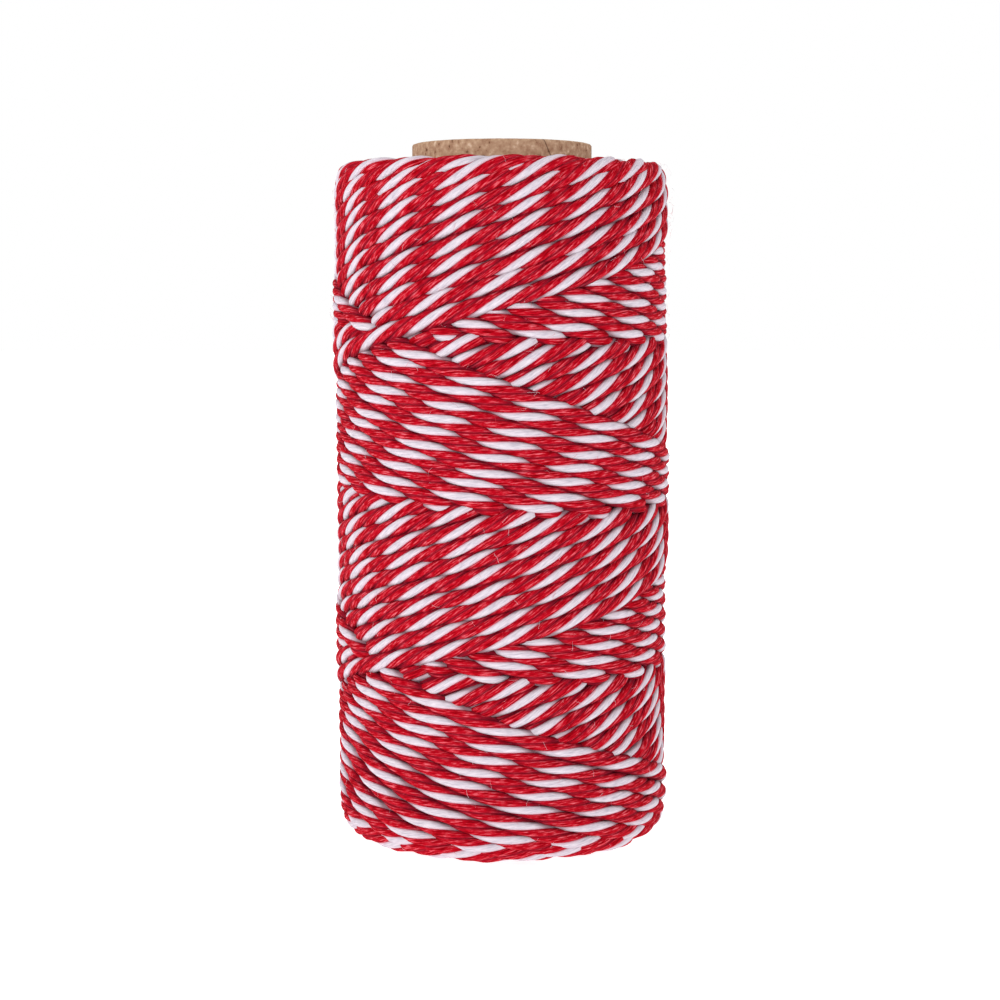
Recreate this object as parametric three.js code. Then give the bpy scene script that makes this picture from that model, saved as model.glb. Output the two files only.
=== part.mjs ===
// A roll of twisted cord: a hollow cardboard tube with a cord cross-wound on it.
// Millimetres, +Z up. The roll stands on the tube's lower end, centred on the origin.
import * as THREE from 'three';

// ---- Driving dimensions -------------------------------------------------------------------

const CORD_DIAMETER = 2.2;

// The tube sticks out of the winding a little at both ends.
const TUBE_OUTER_RADIUS = 13.25;
const TUBE_WALL = 2.0;
const TUBE_HEIGHT = 103.3;
const TUBE_EDGE = 0.3; // the worn corner on each edge of the rim
const TUBE_SIDES = 48;

// The guide carries the middle of the cord up and down between these two heights.
const STROKE_LOW = 3.6;
const STROKE_HIGH = 99.1;

// In one cycle, up and down again, the roll makes four turns and one strand's width more.
// After STRANDS cycles a whole layer lies side by side and the next layer starts.
const STRANDS = 20;
const TURNS_IN_A_CYCLE = 4 + 1 / STRANDS;
const LAST_RISE = 0.388; // where the last rising strand starts, in turns from the front
const TURNAROUND = 0.08; // turns that the guide takes to slow down, or to speed up again

// Each new layer stands a little higher, so the last strands show as low steps.
const NEWEST_RADIUS = 25.25;
const LAYER_STEP = 0.35;
const STEP_WIDTH = 0.1; // how much of a layer the step's slope takes up

const CORNER_RADIUS = 1.5; // the rounded shoulders of the winding
const GAP = 0.3; // air between the winding and the tube

// How finely the winding is faceted.
const WINDING_SIDES = 64;
const SIDE_ROWS = 36;
const CORNER_ROWS = 3;
const END_ROWS = 2;

// ---- Sizes worked out from them -----------------------------------------------------------

const WINDING_INNER_RADIUS = TUBE_OUTER_RADIUS + GAP;
const WINDING_LOW = STROKE_LOW - CORD_DIAMETER / 2;
const WINDING_HIGH = STROKE_HIGH + CORD_DIAMETER / 2;

// The climb in one turn, and the heights where the even strokes would meet.
const LEAD = (2 * (STROKE_HIGH - STROKE_LOW)) / (TURNS_IN_A_CYCLE - 2 * TURNAROUND);
const MEETING_LOW = STROKE_LOW - (LEAD * TURNAROUND) / 2;
const MEETING_HIGH = STROKE_HIGH + (LEAD * TURNAROUND) / 2;

// ---- Materials ----------------------------------------------------------------------------

const redYarn = new THREE.MeshStandardMaterial({
  color: 0xc81e2b,
  roughness: 0.9,
  metalness: 0,
});

const brownBoard = new THREE.MeshStandardMaterial({
  color: 0xb99b74,
  roughness: 0.95,
  metalness: 0,
});

// ---- The wound surface --------------------------------------------------------------------

const fraction = (value) => value - Math.floor(value);

// How much of a layer was wound since the rising strand at this place: 0 is the newest.
function risingAge(turn, height) {
  return fraction(LAST_RISE + (height - MEETING_LOW) / LEAD - turn);
}

// The same for the falling strand, which was wound half a cycle before.
function fallingAge(turn, height) {
  const lastFall = LAST_RISE - 1 / (2 * STRANDS);
  return fraction(lastFall + (MEETING_HIGH - height) / LEAD - turn);
}

// Falls evenly with age, then climbs back quickly to the newest strand's height.
function depthForAge(age) {
  if (age < 1 - STEP_WIDTH) {
    return (LAYER_STEP * age) / (1 - STEP_WIDTH);
  }
  return (LAYER_STEP * (1 - age)) / STEP_WIDTH;
}

function woundRadius(turn, height) {
  const rising = depthForAge(risingAge(turn, height));
  const falling = depthForAge(fallingAge(turn, height));
  return NEWEST_RADIUS - rising - falling;
}

// One closed loop around the winding's section, starting at the foot of its bore.
// "across" is 0 at the bore and 1 at the wound surface.
function sectionLoop() {
  const depth = NEWEST_RADIUS - LAYER_STEP - WINDING_INNER_RADIUS;
  const cornerStart = 1 - CORNER_RADIUS / depth;
  const loop = [];
  for (let row = 0; row < END_ROWS; row += 1) {
    loop.push({ across: (cornerStart * row) / END_ROWS, height: WINDING_LOW });
  }
  for (let row = 0; row < CORNER_ROWS; row += 1) {
    const angle = (Math.PI / 2) * (row / CORNER_ROWS);
    loop.push({
      across: cornerStart + (1 - cornerStart) * Math.sin(angle),
      height: WINDING_LOW + CORNER_RADIUS * (1 - Math.cos(angle)),
    });
  }
  const sideLow = WINDING_LOW + CORNER_RADIUS;
  const sideHigh = WINDING_HIGH - CORNER_RADIUS;
  for (let row = 0; row < SIDE_ROWS; row += 1) {
    loop.push({
      across: 1,
      height: THREE.MathUtils.lerp(sideLow, sideHigh, row / SIDE_ROWS),
    });
  }
  for (let row = 0; row < CORNER_ROWS; row += 1) {
    const angle = (Math.PI / 2) * (row / CORNER_ROWS);
    loop.push({
      across: cornerStart + (1 - cornerStart) * Math.cos(angle),
      height: sideHigh + CORNER_RADIUS * Math.sin(angle),
    });
  }
  for (let row = 0; row <= END_ROWS; row += 1) {
    loop.push({
      across: cornerStart * (1 - row / END_ROWS),
      height: WINDING_HIGH,
    });
  }
  return loop;
}

// The section swept once around the axis, with the radius of every place worked out.
function windingGeometry() {
  const loop = sectionLoop();
  const positions = [];
  for (let side = 0; side < WINDING_SIDES; side += 1) {
    const turn = side / WINDING_SIDES;
    const angle = 2 * Math.PI * turn;
    for (const { across, height } of loop) {
      const surface = woundRadius(turn, height);
      const radius = THREE.MathUtils.lerp(WINDING_INNER_RADIUS, surface, across);
      // Turns are counted from the front, which is -Y, towards +X.
      positions.push(radius * Math.sin(angle), -radius * Math.cos(angle), height);
    }
  }
  const rows = loop.length;
  const index = [];
  for (let side = 0; side < WINDING_SIDES; side += 1) {
    const here = side * rows;
    const next = ((side + 1) % WINDING_SIDES) * rows;
    for (let row = 0; row < rows; row += 1) {
      const above = (row + 1) % rows;
      index.push(here + row, next + row, next + above);
      index.push(here + row, next + above, here + above);
    }
  }
  const geometry = new THREE.BufferGeometry();
  geometry.setAttribute('position', new THREE.Float32BufferAttribute(positions, 3));
  geometry.setIndex(index);
  geometry.computeVertexNormals();
  return geometry;
}

function makeWinding() {
  const winding = new THREE.Mesh(windingGeometry(), redYarn);
  winding.name = 'winding';
  return winding;
}

// ---- The tube -----------------------------------------------------------------------------

// A plain spiral-wound board tube, open at both ends, with its edges slightly worn.
function makeTube() {
  const inner = TUBE_OUTER_RADIUS - TUBE_WALL;
  const outer = TUBE_OUTER_RADIUS;
  const section = [
    new THREE.Vector2(inner + TUBE_EDGE, 0),
    new THREE.Vector2(outer - TUBE_EDGE, 0),
    new THREE.Vector2(outer, TUBE_EDGE),
    new THREE.Vector2(outer, TUBE_HEIGHT - TUBE_EDGE),
    new THREE.Vector2(outer - TUBE_EDGE, TUBE_HEIGHT),
    new THREE.Vector2(inner + TUBE_EDGE, TUBE_HEIGHT),
    new THREE.Vector2(inner, TUBE_HEIGHT - TUBE_EDGE),
    new THREE.Vector2(inner, TUBE_EDGE),
    new THREE.Vector2(inner + TUBE_EDGE, 0),
  ];
  const tube = new THREE.Mesh(new THREE.LatheGeometry(section, TUBE_SIDES), brownBoard);
  tube.name = 'tube';
  tube.rotation.x = Math.PI / 2; // a lathe turns about Y, and the roll stands along Z
  return tube;
}

const roll = new THREE.Group();
roll.add(makeTube());
roll.add(makeWinding());

export default roll;
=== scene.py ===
# %% [markdown]
# # A roll of twisted cord
# A short board tube carries a red and white cotton cord. The roll turns while a guide moves
# the cord up and down, so every strand crosses older strands and the newest ones lie on top.
# This lesson makes the cord the way the winding machine does: one path is worked out for the
# whole outer layer, the crowns of older layers join it on the end faces, and six plies are
# twisted along all of it. Then come the buried layers, the tube and the stray fibres.

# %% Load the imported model
import math

import bpy
import numpy as np
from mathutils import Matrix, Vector


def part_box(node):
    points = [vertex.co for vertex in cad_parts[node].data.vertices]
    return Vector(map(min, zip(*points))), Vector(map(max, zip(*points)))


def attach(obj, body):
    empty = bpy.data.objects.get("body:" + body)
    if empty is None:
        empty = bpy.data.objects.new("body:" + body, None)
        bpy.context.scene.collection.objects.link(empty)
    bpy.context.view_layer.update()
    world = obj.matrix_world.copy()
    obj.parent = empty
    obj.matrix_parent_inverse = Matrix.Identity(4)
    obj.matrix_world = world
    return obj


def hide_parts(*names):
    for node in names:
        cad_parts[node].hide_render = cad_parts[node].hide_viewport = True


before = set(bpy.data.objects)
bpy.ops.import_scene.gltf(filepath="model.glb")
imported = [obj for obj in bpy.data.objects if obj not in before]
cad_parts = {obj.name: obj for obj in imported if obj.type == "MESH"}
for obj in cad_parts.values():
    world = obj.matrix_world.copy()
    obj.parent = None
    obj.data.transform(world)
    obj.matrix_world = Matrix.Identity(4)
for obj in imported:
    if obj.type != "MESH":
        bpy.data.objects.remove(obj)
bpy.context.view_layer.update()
MM = 0.001

winding_low, winding_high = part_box("winding")
_, tube_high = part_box("tube")
print("nodes:", sorted(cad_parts))

# %% [markdown]
# ## The camera
# The roll is looked at from a little below its upper end, through a long lens. That keeps its
# sides nearly upright and hides the upper end face behind its own edge.

# %% Camera
CAMERA_DISTANCE = 282.6 * MM
CAMERA_HEIGHT = 83.1 * MM
CAMERA_TIP = 0.115  # radians downwards

scene = bpy.context.scene
camera_data = bpy.data.cameras.new("camera")
camera_data.sensor_width = 36
camera_data.lens = 67.8
camera_data.shift_x = -0.0019
camera = bpy.data.objects.new("camera", camera_data)
camera.location = (0, -CAMERA_DISTANCE, CAMERA_HEIGHT)
camera.rotation_euler = (math.pi / 2 - CAMERA_TIP, 0, 0)
scene.collection.objects.link(camera)
scene.camera = camera
print("camera", round(CAMERA_DISTANCE, 4), "m in front of the roll's axis")

# %% [markdown]
# ## The path of the cord
# A cross-wound roll follows a simple rule. The guide goes up and down at an even speed while
# the roll turns, so on the unrolled surface the path is a zigzag. One cycle, up and down
# again, takes four turns and one strand's width more. Each cycle therefore lies beside the
# one before it, and twenty cycles cover the surface before the next layer starts.
#
# The strands could be drawn by hand, but the rule gives them all, crossings included. The path
# is worked out in millimetres. Turns count from the front of the roll towards its right side.

# %% The zigzag
CORD_RADIUS = 1.15
STRANDS = 20
TURNS_IN_A_CYCLE = 4 + 1 / STRANDS
LAST_RISE = 0.388  # where the last rise starts, in turns
LOW_BEND = 0.08  # turns that the guide takes to slow down before it goes up again
HIGH_BEND = 0.04  # the same at the upper end
SAG = 0.8  # the lower crowns' middle line lies this much under the CAD winding's

stroke_low = winding_low.z / MM + CORD_RADIUS - SAG
stroke_high = winding_high.z / MM - CORD_RADIUS
lead = 2 * (stroke_high - stroke_low) / (TURNS_IN_A_CYCLE - LOW_BEND - HIGH_BEND)


def rounded_corner(turns, bend):
    """How far a rounded corner has fallen from its peak, this many turns away from it."""
    turns = np.abs(turns)
    return lead * np.where(turns < bend, turns**2 / (2 * bend), turns - bend / 2)


def turn_at(cycle):
    return LAST_RISE + TURNS_IN_A_CYCLE * cycle


def height_at(cycle):
    """The guide's height after this many cycles."""
    phase = cycle % 1
    from_low = np.minimum(phase, 1 - phase) * TURNS_IN_A_CYCLE
    from_high = TURNS_IN_A_CYCLE / 2 - from_low
    above = stroke_low + rounded_corner(from_low, LOW_BEND)
    below = stroke_high - rounded_corner(from_high, HIGH_BEND)
    return np.where(from_low < from_high, above, below)


def turns_from_corner(distance, bend):
    """The other way round: how many turns from its peak a corner has fallen this far."""
    fallen = np.maximum(distance, 0) / lead
    return np.where(fallen < bend / 2, np.sqrt(2 * bend * fallen), fallen + bend / 2)


def turns_up_to(height):
    """How many turns a stroke takes between the lower end and this height."""
    from_low = turns_from_corner(height - stroke_low, LOW_BEND)
    from_high = turns_from_corner(stroke_high - height, HIGH_BEND)
    return np.where(from_low < from_high, from_low, TURNS_IN_A_CYCLE / 2 - from_high)


print("each turn climbs", round(lead, 2), "mm")
print("strands lie", round(lead / STRANDS, 2), "mm apart, one above the other")

# %% [markdown]
# ## How the strands settle
# A strand doesn't stay just where the guide lays it. Each new layer pushes its strands a few
# millimetres sideways, more in some directions than in others, so the zigzag leans and swings
# a little. At both ends the crowns hold the strands, and nothing moves. To know which strands
# lie at a place, its height is first turned back into the height at which they were laid.

# %% Settling
HELD_LOW = 14.0  # this far above the lower end the strands begin to be held
HELD_HIGH = 6.0  # and this far under the upper end
SLIP = 0.02  # the lower turns have moved up a little more than the upper ones
RISE_STILL = 80  # SLIP adds nothing to the rises at this height
SLIP_REACH = 50  # and it grows no more further below it than this
FALL_STILL = 68  # SLIP adds nothing to the falls at this height


def freedom(height):
    """0 at the ends of the strokes, and 1 where the strands are free to settle."""
    to_low = (height - stroke_low) / HELD_LOW
    to_high = (stroke_high - height) / HELD_HIGH
    free = np.clip(np.minimum(to_low, to_high), 0, 1)
    return free**2 * (3 - 2 * free)


def rise_settles(turn, height):
    """How far a rise has moved up, in millimetres: most on the left."""
    below = np.minimum(RISE_STILL - height, SLIP_REACH)
    lean = (1 + SLIP * below) * np.sin(2 * np.pi * turn)
    return freedom(height) * (1.0 + 2 * SLIP * below - lean)


def fall_settles(turn, height):
    """The same for a fall: most at the back, on the left."""
    angle = 2 * np.pi * turn
    lean = 1.6 * np.cos(angle) + 1.2 * np.sin(angle) - 1.2
    return freedom(height) * (SLIP * (FALL_STILL - height) - lean)


def laid_height(settles, turn, height):
    """Where the guide laid a strand that has settled to this height."""
    laid = height
    for _ in range(5):
        laid = height - settles(turn, laid)
    return laid


def strands_since_rise(turn, height):
    """How many cycles ago a rising strand passed here; whole numbers are its middle line."""
    laid = laid_height(rise_settles, turn, height)
    return (STRANDS * (LAST_RISE + turns_up_to(laid) - turn) + 0.5) % STRANDS - 0.5


def strands_since_fall(turn, height):
    """The same for the falling strand."""
    laid = laid_height(fall_settles, turn, height)
    return (STRANDS * (LAST_RISE - turns_up_to(laid) - turn) + 0.5) % STRANDS - 0.5


print("on the left the rises moved up", round(float(rise_settles(-0.2, 50.0)), 2), "mm")

# %% [markdown]
# ## The wound surface
# The newest strands stand highest, and the surface steps down a little towards the oldest
# ones. Near both ends it is rounded, because nothing holds the cord there.

# %% The wound surface
NEWEST_CREST = 25.28
SWELL = 1.28  # pressed strands bulge into each other's grooves
AGE_DROP = 0.32
SHOULDER_INSET = 0.6
SHOULDER_HEIGHT = 3.0


def shoulder(height):
    """How far the surface draws in near the ends."""
    to_end = np.minimum(height - stroke_low, stroke_high - height)
    return SHOULDER_INSET * np.clip(1 - to_end / SHOULDER_HEIGHT, 0, 1.3) ** 2


def crest(rise_age, fall_age, height):
    age = np.clip(rise_age, 0, STRANDS) + np.clip(fall_age, 0, STRANDS)
    return NEWEST_CREST - AGE_DROP * age / STRANDS - shoulder(height)


def surface_radius(turn, height):
    return crest(strands_since_rise(turn, height), strands_since_fall(turn, height), height)


print("crest at mid height, at the front:", round(float(surface_radius(0, 51.0)), 2), "mm")

# %% [markdown]
# ## Over and under
# Where a rising and a falling strand cross, the newer one is on top. The last stroke on this
# roll is a rise, so a rise beats a fall of its own age. Along the path this makes a series of
# overs and unders. A soft average turns their steps into the gentle bends of a real cord.

# %% Sample the path
STEP = 0.35  # between samples
FIRST_CYCLE = 0.49 - STRANDS
LAST_CYCLE = 0.525
DIP = 1.7  # from the middle of the upper strand to the middle of the lower one
BEND = 1.1  # how far the softening reaches

turn_length = math.hypot(2 * math.pi * (NEWEST_CREST - CORD_RADIUS), lead)
samples = int((LAST_CYCLE - FIRST_CYCLE) * TURNS_IN_A_CYCLE * turn_length / STEP)
cycle = np.linspace(FIRST_CYCLE, LAST_CYCLE, samples)
distance = np.arange(samples) * STEP
turn = turn_at(cycle)
height = height_at(cycle)
print("cord in the outer layer:", round(distance[-1] / 1000, 2), "m")


def soften(values, spread):
    """A running average with a bell-shaped weight, that reaches about this far."""
    reach = int(4 * spread / STEP)
    weight = np.exp(-0.5 * (np.arange(-reach, reach + 1) * STEP / spread) ** 2)
    padded = np.pad(values, reach, mode="edge")
    return np.convolve(padded, weight / weight.sum(), mode="valid")


is_rise = cycle % 1 < 0.5
settled = np.where(is_rise, rise_settles(turn, height), fall_settles(turn, height))
height = height + settled
own_age = np.where(is_rise, -np.floor(cycle), -np.floor(cycle) - 1)
rise_age = np.where(is_rise, own_age, strands_since_rise(turn, height))
fall_age = np.where(is_rise, strands_since_fall(turn, height), own_age)
rise_wins = fall_age + 0.5 > rise_age
before_corner = (0.5 - cycle % 0.5) * TURNS_IN_A_CYCLE < 0.5 / STRANDS
on_top = np.where(is_rise, rise_wins, ~rise_wins) | before_corner
print("on top:", round(on_top.sum() * STEP / 1000, 2), "m of it")

# %% [markdown]
# ## Small unevenness
# No winding is perfect. Smooth random waves with fixed seeds shift the strands a tenth of a
# millimetre or two and vary their thickness. Handling has pressed the upper end in a little on
# the right. The end of the cord is tucked in under its neighbours, at the back of the upper edge.

# %% Place the cord in space
TUCK_LENGTH = 8.0
TUCK_DEPTH = 2.4
SQUEEZE = 0.6  # handling has pressed the upper end in a little on the right


def wander(place, wavelength, seed):
    """A smooth random wave between -1 and 1."""
    place = place / wavelength
    cell = np.floor(place).astype(int)
    first = cell.min()
    blend = (1 - np.cos(np.pi * (place - cell))) / 2
    values = np.random.default_rng(seed).uniform(-1, 1, cell.max() - first + 2)
    before = values[cell - first]
    after = values[cell - first + 1]
    return before + (after - before) * blend


def around_axis(turn, radius, height):
    """Points in metres from turns, radius and height in millimetres."""
    angle = 2 * np.pi * turn
    return np.column_stack((radius * np.sin(angle), -radius * np.cos(angle), height)) * MM


middle = crest(rise_age, fall_age, height) - CORD_RADIUS * SWELL
middle = soften(middle - np.where(on_top, 0, DIP), BEND)
middle += 0.07 * wander(distance, 12, seed=3)
to_right = (1 + np.sin(2 * np.pi * turn)) / 2
middle -= SQUEEZE * to_right**2 * np.clip((height - 68) / 20, 0, 1)
middle -= TUCK_DEPTH * np.clip(1 - (distance[-1] - distance) / TUCK_LENGTH, 0, 1)

strand_height = height + 0.12 * wander(distance, 17, seed=5) + 0.10 * wander(distance, 61, seed=6)
thickness = 1 + 0.03 * wander(distance, 9, seed=11)
points = around_axis(turn, middle, strand_height)
print("lowest and highest middle:", round(middle.min(), 2), round(middle.max(), 2), "mm")

# %% [markdown]
# ## The twist
# The cord has six plies: one white and two red, and the same again on the other side. A white
# ply comes to the front twice in each full twist, sixteen times in a turn of the roll. On a
# level strand the plies climb from lower left to upper right. Where the white patches of a
# strand lie is its offset. It drifts from strand to strand, differently in the rises and in
# the falls, and that is what makes the two families look so different.

# %% Twist along the path
PATCHES_IN_A_TURN = 16
# For each family: how far along its stroke, the newest strand's offset, and what each older
# strand adds. Between these places the offset changes evenly.
RISE_OFFSETS = ((0.35, -0.15, 0.11), (0.85, 0.05, 0.0))
FALL_OFFSETS = ((0.35, 0.42, 0.18), (0.85, 0.93, 0.18))
LAID_LATER = 0.4  # the rises before the last two are this much behind near their upper ends

knots = []
offset = 0.0
for stroke in range(-2 * STRANDS, 2):
    rises = stroke % 2 == 0
    strand = -(stroke // 2) if rises else -(stroke // 2) - 1
    for along, newest, older in RISE_OFFSETS if rises else FALL_OFFSETS:
        wanted = newest + older * strand
        if rises and along > 0.5 and strand > 1:
            wanted -= LAID_LATER
        offset = wanted + round(offset - wanted)
        knots.append((turn_at((stroke + along) / 2), offset))
knot_turns, knot_offsets = np.array(knots).T
# Twist is counted in white patches, so 1 is half a turn of the cord.
twist = PATCHES_IN_A_TURN * turn + np.interp(turn, knot_turns, knot_offsets)
twist += 0.07 * wander(distance, 45, seed=8)
print("white patches along the outer layer:", round(twist[-1] - twist[0]))

# %% [markdown]
# ## Only what shows
# Half of the cord is buried. Each stretch on top is kept, with a few millimetres at both ends
# where it dips out of sight, and becomes one spline of a curve. The curve carries the twist as
# tilt, and the changes of thickness as radius.

# %% The curve
KEEP = 3.4  # past each end of a stretch that lies on top
RING_EVERY = 2  # samples between two rings of the mesh

curve = bpy.data.curves.new("cord_path", "CURVE")
curve.dimensions = "3D"
curve.twist_mode = "Z_UP"


def add_strand(places, twists, radii):
    spline = curve.splines.new("POLY")
    spline.points.add(len(places) - 1)
    spline.points.foreach_set("co", np.column_stack((places, np.ones(len(places)))).ravel())
    spline.points.foreach_set("tilt", -np.pi * (twists - math.floor(twists[0])))
    spline.points.foreach_set("radius", radii)


kept = np.convolve(on_top, np.ones(2 * int(KEEP / STEP) + 1), mode="same") > 0.5
edges = np.flatnonzero(np.diff(np.concatenate(([0], kept, [0]))))
for first, last in zip(edges[::2], edges[1::2]):
    keep = slice(first, last, RING_EVERY)
    add_strand(points[keep], twist[keep], thickness[keep])
print(len(curve.splines), "stretches of cord")

# %% [markdown]
# ## Crowns on the end faces
# Where the guide turns back, each strand makes a low arch, called a crown. The crowns of the
# outer layer are part of the path above. Older layers end in crowns of their own, nearer the
# tube, and their legs go down into the roll. Here each one is a short arch that slants
# inwards, so that it comes out from under one neighbour and ends under the next.

# %% Inner crowns
CROWN_REACH = 33 / 360  # turns from a crown's middle to each of its ends
CROWN_RADII = (20.4, 17.8, 15.4)
CROWN_SLANT = 0.85  # how much nearer to the tube it ends than its middle lies
PATCH_SPACING = 9.6  # from one white patch to the next
RING_LENGTH = 0.85  # between two rings of the mesh
rng = np.random.default_rng(21)

for end, base in ((-1, stroke_low), (1, stroke_high)):
    for ring, crown_radius in enumerate(CROWN_RADII):
        start = rng.uniform()
        for number in range(STRANDS):
            length = 4 * math.pi * crown_radius * CROWN_REACH
            swing = np.linspace(-1, 1, int(length / RING_LENGTH) + 1)
            radius = crown_radius - CROWN_SLANT * swing + rng.uniform(-0.2, 0.2)
            sink = rounded_corner(swing * CROWN_REACH, LOW_BEND) + rng.uniform(0, 0.35)
            crown_turn = start + number / STRANDS + swing * CROWN_REACH
            places = around_axis(crown_turn, radius, base - end * sink)
            twists = rng.uniform() + swing * length / 2 / PATCH_SPACING
            add_strand(places, twists, np.ones(len(swing)))
rings = sum(len(spline.points) for spline in curve.splines)
print("with the inner crowns:", len(curve.splines), "strands of", rings, "rings")

# %% [markdown]
# ## The plies
# A real ply is a soft bundle that its neighbours squeeze into a wedge. Its section here is a
# wide arc for the round back, closed by a straight line on the side of the cord's middle.
# Geometry Nodes sweep it along every strand, and the tilt of the curve twists it. The tree
# also stores how far along the cord and how far round the ply each point is, so that the
# cotton's fibres can follow the ply.

# %% Helpers for node trees
def new_tree(name, inputs):
    """An empty geometry tree that has its own named inputs after the geometry."""
    tree = bpy.data.node_groups.new(name, "GeometryNodeTree")
    tree.interface.new_socket("Geometry", in_out="OUTPUT", socket_type="NodeSocketGeometry")
    tree.interface.new_socket("Geometry", in_out="INPUT", socket_type="NodeSocketGeometry")
    for title, kind in inputs.items():
        tree.interface.new_socket(title, in_out="INPUT", socket_type="NodeSocket" + kind)
    return tree, tree.nodes.new("NodeGroupInput").outputs


def add_node(tree, kind, settings=None, values=None):
    """One node. Each value is a number, or the socket that feeds the input."""
    made = tree.nodes.new(kind)
    for key, value in (settings or {}).items():
        setattr(made, key, value)
    for key, value in (values or {}).items():
        if isinstance(value, bpy.types.NodeSocket):
            tree.links.new(value, made.inputs[key])
        else:
            made.inputs[key].default_value = value
    return made


def calculate(tree, operation, first, second=0.0):
    """A Math node on two values, and the socket that holds its result."""
    values = {0: first, 1: second}
    return add_node(tree, "ShaderNodeMath", {"operation": operation}, values).outputs[0]


def finish_tree(tree, geometry, material):
    """Ends a tree: instances become real, faces are smooth, and the material is set."""
    real = add_node(tree, "GeometryNodeRealizeInstances", values={"Geometry": geometry})
    smooth = add_node(tree, "GeometryNodeSetShadeSmooth", values={"Geometry": real.outputs[0]})
    dressed = add_node(
        tree,
        "GeometryNodeSetMaterial",
        values={"Geometry": smooth.outputs[0], "Material": material},
    )
    add_node(tree, "NodeGroupOutput", values={0: dressed.outputs[0]})


def count_triangles(piece):
    triangles = sum(len(face.vertices) - 2 for face in piece.data.polygons)
    print(piece.name, "has", triangles, "triangles")


def grow(source, tree, values, name):
    """Runs a tree on an object and keeps the result as a plain mesh object."""
    modifier = source.modifiers.new(tree.name, "NODES")
    modifier.node_group = tree
    sockets = {item.name: item.identifier for item in tree.interface.items_tree}
    for title, value in values.items():
        modifier[sockets[title]] = value
    evaluated = source.evaluated_get(bpy.context.evaluated_depsgraph_get())
    mesh = bpy.data.meshes.new_from_object(evaluated)
    source.modifiers.remove(modifier)
    piece = bpy.data.objects.new(name, mesh)
    scene.collection.objects.link(piece)
    count_triangles(piece)
    return piece


# %% The ply's section
PLY_CENTRE = 0.54  # from the cord's middle to the arc's
PLY_ARC = math.radians(160)
PLY_POINTS = 5

ply_tree, given = new_tree(
    "twisted ply",
    {
        "Cord radius": "Float",
        "Ply back": "Float",
        "Ply turn": "Rotation",
        "Material": "Material",
    },
)
back = add_node(
    ply_tree,
    "GeometryNodeCurveArc",
    {"mode": "RADIUS"},
    {
        "Resolution": PLY_POINTS,
        "Radius": given["Ply back"],
        "Start Angle": -PLY_ARC / 2,
        "Sweep Angle": PLY_ARC,
    },
)
round_ply = add_node(ply_tree, "GeometryNodeSplineParameter")
marked = add_node(
    ply_tree,
    "GeometryNodeStoreNamedAttribute",
    {"data_type": "FLOAT", "domain": "POINT"},
    {"Geometry": back.outputs["Curve"], "Name": "around", "Value": round_ply.outputs["Factor"]},
)
closed = add_node(
    ply_tree,
    "GeometryNodeSetSplineCyclic",
    values={"Geometry": marked.outputs[0], "Cyclic": True},
)
off_centre = add_node(
    ply_tree,
    "GeometryNodeTransform",
    values={"Geometry": closed.outputs[0], "Translation": (PLY_CENTRE, 0, 0)},
)
cord_size = add_node(
    ply_tree,
    "ShaderNodeCombineXYZ",
    values={axis: given["Cord radius"] for axis in range(3)},
)
section = add_node(
    ply_tree,
    "GeometryNodeTransform",
    values={
        "Geometry": off_centre.outputs[0],
        "Rotation": given["Ply turn"],
        "Scale": cord_size.outputs[0],
    },
)
print("ply section:", PLY_POINTS, "points")

# %% [markdown]
# Where two strands touch, hardly any light gets in, and this shade is painted into the colour.
# The tree measures how far each point stands out above its strand's middle line, and stores in
# the shade attribute how much painted shade each point gets. On the end faces the strands face
# up or down. The measure says nothing there, so the painted shade fades out.

# %% The sweep
SHIFT_BETWEEN_STRANDS = 0.137  # metres, so that no two strands show the same fibres
TOUCH = 0.80 * MM  # a point that stands out less than this gets the full painted shade
CLEAR = 1.15 * MM  # and one that stands out more than this gets no painted shade
FADE_FROM = 4 * MM  # this far before the end of a stroke the painted shade starts to fade
FADE_TO = 1.5 * MM  # and here it is gone

down_strand = add_node(ply_tree, "GeometryNodeSplineParameter")
index = add_node(ply_tree, "GeometryNodeInputIndex")
strand_number = add_node(
    ply_tree,
    "GeometryNodeFieldOnDomain",
    {"domain": "CURVE", "data_type": "INT"},
    {"Value": index.outputs[0]},
)
along = add_node(
    ply_tree,
    "ShaderNodeMath",
    {"operation": "MULTIPLY_ADD"},
    {0: strand_number.outputs[0], 1: SHIFT_BETWEEN_STRANDS, 2: down_strand.outputs["Length"]},
)
route = add_node(
    ply_tree,
    "GeometryNodeStoreNamedAttribute",
    {"data_type": "FLOAT", "domain": "POINT"},
    {"Geometry": given["Geometry"], "Name": "along", "Value": along.outputs[0]},
)
position = add_node(ply_tree, "GeometryNodeInputPosition")
flat_position = add_node(
    ply_tree,
    "ShaderNodeVectorMath",
    {"operation": "MULTIPLY"},
    {0: position.outputs[0], 1: (1, 1, 0)},
)
from_axis = add_node(
    ply_tree,
    "ShaderNodeVectorMath",
    {"operation": "LENGTH"},
    {0: flat_position.outputs[0]},
)
middle_line = add_node(
    ply_tree,
    "GeometryNodeStoreNamedAttribute",
    {"data_type": "FLOAT", "domain": "POINT"},
    {"Geometry": route.outputs[0], "Name": "middle", "Value": from_axis.outputs["Value"]},
)
strand_size = add_node(ply_tree, "GeometryNodeInputRadius")
swept = add_node(
    ply_tree,
    "GeometryNodeCurveToMesh",
    values={
        "Curve": middle_line.outputs[0],
        "Profile Curve": section.outputs[0],
        "Scale": strand_size.outputs[0],
        "Fill Caps": True,
    },
)
middle_here = add_node(
    ply_tree,
    "GeometryNodeInputNamedAttribute",
    {"data_type": "FLOAT"},
    {"Name": "middle"},
)

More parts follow.
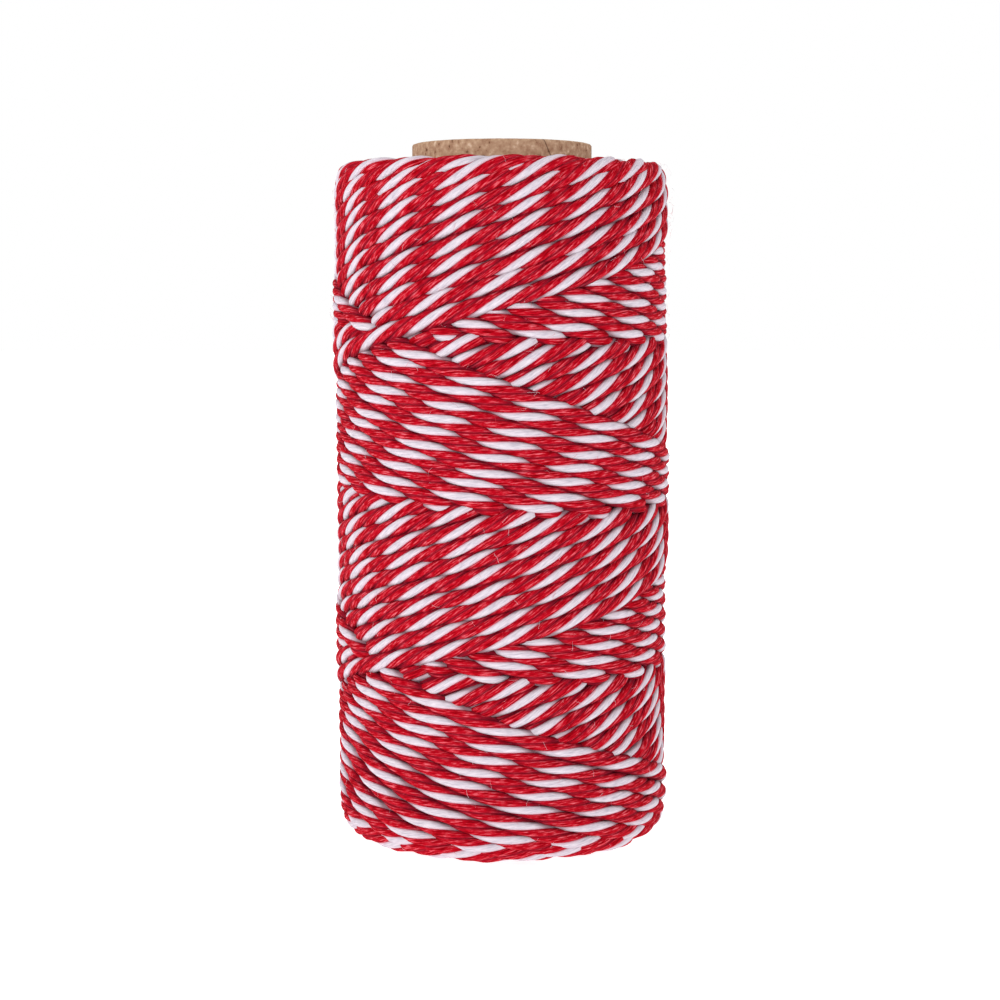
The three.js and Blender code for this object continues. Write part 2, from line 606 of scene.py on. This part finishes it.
middle_radius = middle_here.outputs["Attribute"]
standing_out = calculate(ply_tree, "SUBTRACT", from_axis.outputs["Value"], middle_radius)
# Painted shade: full where a point stands out less than TOUCH, none past CLEAR.
painted_shade_from_touch = add_node(
    ply_tree,
    "ShaderNodeMapRange",
    values={0: standing_out, 1: TOUCH, 2: CLEAR, 3: 1.0, 4: 0.0},
)
level = add_node(ply_tree, "ShaderNodeSeparateXYZ", values={0: position.outputs[0]})
half_height = (stroke_high - stroke_low) / 2 * MM
mid_height = (stroke_high + stroke_low) / 2 * MM
above_mid = calculate(ply_tree, "SUBTRACT", level.outputs["Z"], mid_height)
from_mid = calculate(ply_tree, "ABSOLUTE", above_mid)
on_side = add_node(
    ply_tree,
    "ShaderNodeMapRange",
    values={0: from_mid, 1: half_height - FADE_FROM, 2: half_height - FADE_TO, 3: 1.0, 4: 0.0},
)
shaded = add_node(
    ply_tree,
    "GeometryNodeStoreNamedAttribute",
    {"data_type": "FLOAT", "domain": "POINT"},
    {
        "Geometry": swept.outputs[0],
        "Name": "shade",
        "Value": calculate(ply_tree, "MULTIPLY", painted_shade_from_touch.outputs[0], on_side.outputs[0]),
    },
)
finish_tree(ply_tree, shaded.outputs[0], given["Material"])
print("ply tree:", len(ply_tree.nodes), "nodes")

# %% [markdown]
# ## Cotton
# Cotton is matt and never one even colour. Fibres run along the ply as short light and dark
# streaks. Towards the grooves between the plies light is painted into the colour: painted shade
# makes the red deeper, and a painted reflection of the red plies turns the white pink. Between
# two strands painted shade darkens both yarns further. One function makes both yarns. Its
# noise is stretched along the ply, and it drives the colour, the roughness and a fine bump.

# %% Cotton materials
STREAKS_PER_METRE = 650
STREAKS_ROUND = 8
PAINTED_SHADE_COLOUR = (0.12, 0.004, 0.014)  # painted shade: the colour painted between two strands
DARKEST = 0.7  # how much painted shade there is at the deepest place


def new_material(name):
    material = bpy.data.materials.new(name)
    material.use_nodes = True
    return material, material.node_tree, material.node_tree.nodes["Principled BSDF"]


def colour_ramp(tree, factor, stops):
    """A colour ramp with its stops given as place: colour."""
    made = add_node(tree, "ShaderNodeValToRGB", values={0: factor})
    ramp = made.color_ramp
    while len(ramp.elements) < len(stops):
        ramp.elements.new(0.5)
    for element, (place, colour) in zip(ramp.elements, stops.items()):
        element.position = place
        element.color = (*colour, 1)
    return made.outputs[0]


def cotton(name, streaks, groove_painted_light, groove_painted_amount):
    """Twisted cotton: colours of its streaks, the painted light in its grooves and how much of it.
    """
    material, tree, shader = new_material(name)
    along = add_node(tree, "ShaderNodeAttribute", {"attribute_name": "along"})
    around = add_node(tree, "ShaderNodeAttribute", {"attribute_name": "around"})
    place = add_node(
        tree,
        "ShaderNodeCombineXYZ",
        values={0: along.outputs["Fac"], 1: around.outputs["Fac"]},
    )
    stretched = add_node(
        tree,
        "ShaderNodeVectorMath",
        {"operation": "MULTIPLY"},
        {0: place.outputs[0], 1: (STREAKS_PER_METRE, STREAKS_ROUND, 1)},
    )
    fibres = add_node(
        tree,
        "ShaderNodeTexNoise",
        values={"Vector": stretched.outputs[0], "Scale": 1, "Detail": 4, "Roughness": 0.62},
    )
    colour = colour_ramp(tree, fibres.outputs[0], streaks)
    from_middle = add_node(
        tree,
        "ShaderNodeMath",
        {"operation": "PINGPONG"},
        {0: around.outputs["Fac"], 1: 0.5},
    )
    # Painted light towards the grooves between the plies: painted shade on the red, painted
    # reflection of the red on the white.
    painted_groove_mask = add_node(
        tree,
        "ShaderNodeMapRange",
        values={0: from_middle.outputs[0], 1: 0.08, 2: 0.28, 3: groove_painted_amount, 4: 0.0},
    )
    mixed = add_node(
        tree,
        "ShaderNodeMix",
        {"data_type": "RGBA"},
        {0: painted_groove_mask.outputs[0], 6: colour, 7: (*groove_painted_light, 1)},
    )
    # Painted shade between two strands, read from the shade attribute.
    shade = add_node(tree, "ShaderNodeAttribute", {"attribute_name": "shade"})
    painted_shade_amount = add_node(
        tree,
        "ShaderNodeMath",
        {"operation": "MULTIPLY"},
        {0: shade.outputs["Fac"], 1: DARKEST},
    )
    with_painted_shade = add_node(
        tree,
        "ShaderNodeMix",
        {"data_type": "RGBA"},
        {0: painted_shade_amount.outputs[0], 6: mixed.outputs[2], 7: (*PAINTED_SHADE_COLOUR, 1)},
    )
    tree.links.new(with_painted_shade.outputs[2], shader.inputs["Base Color"])
    rough = add_node(
        tree,
        "ShaderNodeMapRange",
        values={0: fibres.outputs[0], 1: 0.3, 2: 0.7, 3: 0.95, 4: 0.8},
    )
    tree.links.new(rough.outputs[0], shader.inputs["Roughness"])
    bump = add_node(
        tree,
        "ShaderNodeBump",
        values={"Height": fibres.outputs[0], "Strength": 0.8, "Distance": 0.16 * MM},
    )
    tree.links.new(bump.outputs[0], shader.inputs["Normal"])
    shader.inputs["Specular IOR Level"].default_value = 0.04
    return material


red_cotton = cotton(
    "red cotton",
    {
        0.36: (0.16, 0.0, 0.002),
        0.45: (0.32, 0.0, 0.005),
        0.54: (0.44, 0.003, 0.014),
        0.66: (0.65, 0.13, 0.16),
    },
    # Painted shade: the red is deeper in the grooves between its plies.
    groove_painted_light=(0.32, 0.010, 0.028),
    groove_painted_amount=0.6,
)
white_cotton = cotton(
    "white cotton",
    {
        0.34: (0.41, 0.37, 0.43),
        0.50: (0.55, 0.49, 0.545),
        0.68: (0.66, 0.60, 0.65),
    },
    # Painted reflection: the white turns pink in its grooves, as if lit by the red plies beside it.
    groove_painted_light=(0.66, 0.40, 0.48),
    groove_painted_amount=0.9,
)
print("materials:", red_cotton.name, "and", white_cotton.name)

# %% The six plies
path_object = bpy.data.objects.new("cord_path", curve)
scene.collection.objects.link(path_object)
WHITE_BACK = 0.48  # radius of the arc, as a part of the cord's radius
RED_BACK = 0.46
# Each ply's place around the cord is in turns. The red ones stand a little closer to the
# white ones than even sixths would put them.
PLIES = {
    "white_ply_1": (0.0, WHITE_BACK, white_cotton, "white_yarn"),
    "red_ply_1": (0.16, RED_BACK, red_cotton, "red_yarn"),
    "red_ply_2": (0.34, RED_BACK, red_cotton, "red_yarn"),
    "white_ply_2": (0.50, WHITE_BACK, white_cotton, "white_yarn"),
    "red_ply_3": (0.66, RED_BACK, red_cotton, "red_yarn"),
    "red_ply_4": (0.84, RED_BACK, red_cotton, "red_yarn"),
}
for name, (part, ply_back, material, slot) in PLIES.items():
    ply = grow(
        path_object,
        ply_tree,
        {
            "Cord radius": CORD_RADIUS * SWELL * MM,
            "Ply back": ply_back,
            "Ply turn": (0, 0, part * 2 * math.pi),
            "Material": material,
        },
        name,
    )
    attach(ply, "root")
    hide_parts("winding")
bpy.data.objects.remove(path_object)

# %% [markdown]
# ## The buried layers
# Between the strands one looks down on older cord. Modelling all of it would take three times
# as many faces for a few dark chinks, so a closed body fills the roll just under the strands.
# Its colour is a deep red, much darker than the cotton, as painted shade for the chinks.

# %% A ring-shaped body
def ring_body(name, loops):
    """A closed mesh from loops of points around the axis, the last joined to the first."""
    rows, sides = loops.shape[:2]
    here = np.arange(rows * sides).reshape(rows, sides)
    up = np.roll(here, -1, axis=0)
    quads = np.stack((here, np.roll(here, -1, axis=1), np.roll(up, -1, axis=1), up), axis=-1)
    mesh = bpy.data.meshes.new(name)
    mesh.from_pydata(loops.reshape(-1, 3).tolist(), [], quads.reshape(-1, 4).tolist())
    mesh.shade_smooth()
    body = bpy.data.objects.new(name, mesh)
    scene.collection.objects.link(body)
    count_triangles(body)
    return body


# %% Fill the roll
SIDES = 160
CORE_DEPTH = 1.7  # under the wound surface
CORE_GAP = 0.3  # between the buried layers and the tube
CORE_REACH = 0.3  # past the middle line of the crowns
CORE_ROWS = 90
core_low = stroke_low - CORE_REACH
core_high = stroke_high + CORE_REACH
core_bore = tube_high.x / MM + CORE_GAP

core_turns = np.arange(SIDES) / SIDES
core_loops = [around_axis(core_turns, core_bore, np.full(SIDES, core_low))]
for core_height in np.linspace(core_low, core_high, CORE_ROWS):
    level = np.full(SIDES, core_height)
    core_radius = surface_radius(core_turns, level) - CORE_DEPTH
    core_loops.append(around_axis(core_turns, core_radius, level))
core_loops.append(around_axis(core_turns, core_bore, np.full(SIDES, core_high)))
core = ring_body("buried_layers", np.array(core_loops))


def speckled(name, scale, stops, roughness):
    """A matt material whose colour changes from place to place, and its tree and shader."""
    material, tree, shader = new_material(name)
    coordinates = add_node(tree, "ShaderNodeTexCoord")
    shade = add_node(
        tree,
        "ShaderNodeTexNoise",
        values={"Vector": coordinates.outputs["Object"], "Scale": scale, "Detail": 3},
    )
    colour = colour_ramp(tree, shade.outputs[0], stops)
    tree.links.new(colour, shader.inputs["Base Color"])
    shader.inputs["Roughness"].default_value = roughness
    shader.inputs["Specular IOR Level"].default_value = 0.1
    return material, tree, shader


# Painted shade: the buried cord is coloured much darker than the red and white cotton on top.
shaded_core_material, _, _ = speckled(
    "buried cotton in painted shade", 450, {0.40: (0.06, 0.002, 0.008), 0.62: (0.15, 0.005, 0.02)}, 0.95
)
core.data.materials.append(shaded_core_material)
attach(core, "root")
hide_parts("winding")

# %% [markdown]
# ## The tube
# The tube is wound from strips of brown board, glued one over another, and cut off with a
# knife. Its rim is slightly rough and shows the layers, and a thin seam runs slantwise down
# the outside, where two turns of the last strip meet. The CAD tube has the right size but
# coarse facets, so a finer one takes its place.

# %% The board tube
TUBE_WALL = 2.0
TUBE_EDGE = 0.3
BOARD_LAYERS = 4
WEAR = 0.05
BEVEL = 0.1  # how deep the worn corner is at its middle
WEAR_PARTS = 12.2  # rows outside this radius wear inwards, the others outwards
TUBE_SIDES = 192
tube_outer = tube_high.x / MM
tube_height = tube_high.z / MM
tube_inner = tube_outer - TUBE_WALL
tube_turns = np.arange(TUBE_SIDES) / TUBE_SIDES


def ripple(seed):
    """A random wave around the tube, with no step where it closes."""
    rng = np.random.default_rng(seed)
    waves = rng.integers(3, 45, 12)
    phases = rng.uniform(0, 1, 12)
    return np.sin(2 * np.pi * (np.outer(tube_turns, waves) + phases)).mean(axis=1)


def rim(base, inwards):
    """Radii and heights across one rim, outside to inside: each layer of board is a low ridge."""
    rows = [
        (tube_outer, base + inwards * TUBE_EDGE),
        (tube_outer - BEVEL, base + inwards * BEVEL),
    ]
    layer = (TUBE_WALL - 2 * TUBE_EDGE) / BOARD_LAYERS
    for number in range(BOARD_LAYERS):
        start = tube_outer - TUBE_EDGE - number * layer
        rows.append((start, base + inwards * WEAR))
        rows.append((start - 0.3 * layer, base))
        rows.append((start - 0.8 * layer, base))
    rows.append((tube_inner + BEVEL, base + inwards * BEVEL))
    rows.append((tube_inner, base + inwards * TUBE_EDGE))
    return rows


tube_rows = rim(0, 1)[::-1] + rim(tube_height, -1)
tube_loops = []
for number, (radius, level) in enumerate(tube_rows):
    inwards = 1 if level < 1 else -1
    worn = radius - WEAR * np.abs(ripple(100 + number)) * np.sign(radius - WEAR_PARTS)
    rough = level + inwards * WEAR * np.abs(ripple(200 + number))
    tube_loops.append(around_axis(tube_turns, worn, rough))
tube = ring_body("board_tube", np.array(tube_loops))
print("its wall is", TUBE_WALL, "mm thick, of", BOARD_LAYERS, "layers")

# %% [markdown]
# Board is pressed from paper fibres, so it is mottled and full of dark and pale flecks. The
# seam is a dark line, worked out from the angle around the tube and the height.

# %% Board material
SEAM_TURN = 26.6 / 360  # where it meets the upper rim
SEAM_PITCH = 0.17  # metres that it falls in one turn
SEAM_WIDTH = 0.0016  # in turns
WHOLE_TURNS = 3  # keeps the distance from the seam above zero, and moves nothing
board, tree, shader = speckled(
    "board",
    1500,
    {
        0.28: (0.13, 0.065, 0.035),
        0.34: (0.32, 0.18, 0.11),
        0.50: (0.41, 0.26, 0.165),
        0.62: (0.48, 0.32, 0.21),
        0.72: (0.62, 0.46, 0.33),
    },
    0.95,
)
coordinates = add_node(tree, "ShaderNodeTexCoord")
axes = add_node(tree, "ShaderNodeSeparateXYZ", values={0: coordinates.outputs["Object"]})

backwards = calculate(tree, "MULTIPLY", axes.outputs["Y"], -1.0)
around_tube = calculate(tree, "ARCTAN2", axes.outputs["X"], backwards)
turn_here = calculate(tree, "DIVIDE", around_tube, 2 * math.pi)
fallen = calculate(tree, "DIVIDE", axes.outputs["Z"], SEAM_PITCH)
slanted = calculate(tree, "ADD", turn_here, fallen)
seam_start = SEAM_TURN + tube_high.z / SEAM_PITCH - WHOLE_TURNS
from_seam = calculate(tree, "SUBTRACT", slanted, seam_start)
seam_distance = calculate(tree, "PINGPONG", from_seam, 0.5)
seam = add_node(
    tree,
    "ShaderNodeMapRange",
    values={0: seam_distance, 1: 0.0, 2: SEAM_WIDTH, 3: 0.85, 4: 0.0},
)
base_colour = shader.inputs["Base Color"].links[0].from_socket
seamed = add_node(
    tree,
    "ShaderNodeMix",
    {"data_type": "RGBA"},
    {0: seam.outputs[0], 6: base_colour, 7: (0.05, 0.025, 0.015, 1)},
)
tree.links.new(seamed.outputs[2], shader.inputs["Base Color"])
paper = add_node(
    tree,
    "ShaderNodeTexNoise",
    values={"Vector": coordinates.outputs["Object"], "Scale": 2600, "Detail": 3},
)
relief = calculate(tree, "SUBTRACT", paper.outputs[0], seam.outputs[0])
bump = add_node(
    tree,
    "ShaderNodeBump",
    values={"Height": relief, "Strength": 0.5, "Distance": 0.1 * MM},
)
tree.links.new(bump.outputs[0], shader.inputs["Normal"])
tube.data.materials.append(board)
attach(tube, "root")
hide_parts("tube")
print("the seam falls", SEAM_PITCH / MM, "mm in a turn")

# %% [markdown]
# ## Stray fibres
# Cotton is spun from fibres two or three centimetres long. Some ends always stand off the
# cord as a thin fuzz. Geometry Nodes scatter short curved fibres over a skin that follows the
# wound surface, turn each one at random and bend it with noise.

# %% The fibre tree
FUZZY_FROM = 15.5 * MM  # no fibres nearer the axis than this
WAVE = 1.2 * MM  # how strongly noise bends them
fibre_tree, given = new_tree(
    "stray fibres",
    {
        "Density": "Float",
        "Seed": "Int",
        "Length": "Float",
        "Radius": "Float",
        "Material": "Material",
    },
)
place = add_node(fibre_tree, "GeometryNodeInputPosition")
flattened = add_node(
    fibre_tree,
    "ShaderNodeVectorMath",
    {"operation": "MULTIPLY"},
    {0: place.outputs[0], 1: (1, 1, 0)},
)
from_axis = add_node(
    fibre_tree, "ShaderNodeVectorMath", {"operation": "LENGTH"}, {0: flattened.outputs[0]}
)
outside = add_node(
    fibre_tree,
    "FunctionNodeCompare",
    {"operation": "GREATER_THAN", "data_type": "FLOAT"},
    {0: from_axis.outputs["Value"], 1: FUZZY_FROM},
)
roots = add_node(
    fibre_tree,
    "GeometryNodeDistributePointsOnFaces",
    values={
        "Mesh": given["Geometry"],
        "Selection": outside.outputs[0],
        "Density": given["Density"],
        "Seed": given["Seed"],
    },
)
bow = add_node(
    fibre_tree,
    "GeometryNodeCurveQuadraticBezier",
    values={
        "Resolution": 7,
        "Start": (-0.5, 0, -0.1),
        "Middle": (-0.1, 0.1, 0.22),
        "End": (0.5, -0.1, 0.16),
    },
)
long_bow = add_node(
    fibre_tree,
    "ShaderNodeCombineXYZ",
    values={axis: given["Length"] for axis in range(3)},
)
sized_bow = add_node(
    fibre_tree,
    "GeometryNodeTransform",
    values={"Geometry": bow.outputs[0], "Scale": long_bow.outputs[0]},
)
outline = add_node(
    fibre_tree,
    "GeometryNodeCurvePrimitiveCircle",
    values={"Resolution": 3, "Radius": given["Radius"]},
)
fibre = add_node(
    fibre_tree,
    "GeometryNodeCurveToMesh",
    values={"Curve": sized_bow.outputs[0], "Profile Curve": outline.outputs[0], "Fill Caps": True},
)
spin = add_node(
    fibre_tree,
    "FunctionNodeRandomValue",
    {"data_type": "FLOAT_VECTOR"},
    {0: (-0.3, -0.3, -math.pi), 1: (0.3, 0.3, math.pi), "Seed": given["Seed"]},
)
spin_rotation = add_node(
    fibre_tree, "FunctionNodeEulerToRotation", values={0: spin.outputs[0]}
)
turned = add_node(
    fibre_tree,
    "FunctionNodeRotateRotation",
    {"rotation_space": "LOCAL"},
    {0: roots.outputs["Rotation"], 1: spin_rotation.outputs[0]},
)
size = add_node(
    fibre_tree,
    "FunctionNodeRandomValue",
    {"data_type": "FLOAT"},
    {2: 0.5, 3: 1.3, "Seed": 3},
)
scattered = add_node(
    fibre_tree,
    "GeometryNodeInstanceOnPoints",
    values={
        "Points": roots.outputs["Points"],
        "Instance": fibre.outputs[0],
        "Rotation": turned.outputs[0],
        "Scale": size.outputs[1],
    },
)
loose = add_node(
    fibre_tree, "GeometryNodeRealizeInstances", values={"Geometry": scattered.outputs[0]}
)
waves = add_node(
    fibre_tree, "ShaderNodeTexNoise", values={"Vector": place.outputs[0], "Scale": 600, "Detail": 1}
)
centred = add_node(
    fibre_tree,
    "ShaderNodeVectorMath",
    {"operation": "SUBTRACT"},
    {0: waves.outputs["Color"], 1: (0.5, 0.5, 0.5)},
)
push = add_node(
    fibre_tree, "ShaderNodeVectorMath", {"operation": "SCALE"}, {0: centred.outputs[0], 3: WAVE}
)
bent = add_node(
    fibre_tree,
    "GeometryNodeSetPosition",
    values={"Geometry": loose.outputs[0], "Offset": push.outputs[0]},
)
finish_tree(fibre_tree, bent.outputs[0], given["Material"])
print("fibre tree:", len(fibre_tree.nodes), "nodes")

# %% Scatter the fibres
SKIN_DEPTH = 0.1  # under the wound surface
SKIN_BORE = 15.0
SKIN_REACH = 0.8  # past the buried layers at both ends
SKIN_ROWS = 60
FIBRE_LENGTH = 1.1 * MM
FIBRE_RADIUS = 0.010 * MM
skin_loops = [around_axis(core_turns, SKIN_BORE, np.full(SIDES, core_low - SKIN_REACH))]
for skin_height in np.linspace(core_low - SKIN_REACH, core_high + SKIN_REACH, SKIN_ROWS):
    level = np.full(SIDES, skin_height)
    skin_radius = surface_radius(core_turns, level) - SKIN_DEPTH
    skin_loops.append(around_axis(core_turns, skin_radius, level))
skin_loops.append(around_axis(core_turns, SKIN_BORE, np.full(SIDES, core_high + SKIN_REACH)))
skin = ring_body("skin", np.array(skin_loops))

red_fibres, _, _ = speckled(
    "red fibres", 300, {0.4: (0.42, 0.006, 0.02), 0.6: (0.72, 0.06, 0.09)}, 0.9
)
white_fibres, _, _ = speckled(
    "white fibres", 300, {0.4: (0.66, 0.60, 0.67), 0.6: (0.85, 0.80, 0.86)}, 0.9
)
# How many there are on a square metre, then the seed, the material and the slot.
FUZZ = {
    "stray_fibres_red": (60e3, 17, red_fibres, "red_yarn"),
    "stray_fibres_white": (35e3, 18, white_fibres, "white_yarn"),
}
for name, (density, seed, material, slot) in FUZZ.items():
    fuzz = grow(
        skin,
        fibre_tree,
        {
            "Density": density,
            "Seed": seed,
            "Length": FIBRE_LENGTH,
            "Radius": FIBRE_RADIUS,
            "Material": material,
        },
        name,
    )
    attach(fuzz, "root")
    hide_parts("winding")
bpy.data.objects.remove(skin)

# %% [markdown]
# ## Light and floor
# Soft light comes from everywhere, with a large lamp on the left that brightens that side a
# little. The floor is plain white and glows, like the light table such things are shown on, so
# the roll casts almost no shadow.

# %% Light and floor
WORLD_STRENGTH = 1.0
LAMP_WATTS = 4
scene.view_settings.view_transform = "Standard"
world = bpy.data.worlds.new("studio")
world.use_nodes = True
world.node_tree.nodes["Background"].inputs["Color"].default_value = (1, 1, 1, 1)
world.node_tree.nodes["Background"].inputs["Strength"].default_value = WORLD_STRENGTH
scene.world = world

lamp_data = bpy.data.lights.new("soft_lamp", "AREA")
lamp_data.size = 0.7
lamp_data.energy = LAMP_WATTS
lamp = bpy.data.objects.new("soft_lamp", lamp_data)
lamp.location = (-0.8, -0.7, 0.6)
towards_roll = Vector((0, 0, 0.05)) - lamp.location
lamp.rotation_euler = towards_roll.to_track_quat("-Z", "Y").to_euler()
scene.collection.objects.link(lamp)

bpy.ops.mesh.primitive_plane_add(size=4)
floor = bpy.context.object
floor.name = "floor"
floor_material, tree, shader = new_material("pale floor")
shader.inputs["Base Color"].default_value = (0.93, 0.93, 0.93, 1)
shader.inputs["Roughness"].default_value = 0.9
shader.inputs["Specular IOR Level"].default_value = 0.1
shader.inputs["Emission Color"].default_value = (1, 1, 1, 1)
shader.inputs["Emission Strength"].default_value = 0.85
floor.data.materials.append(floor_material)
print("world", WORLD_STRENGTH, "and lamp", LAMP_WATTS, "W")
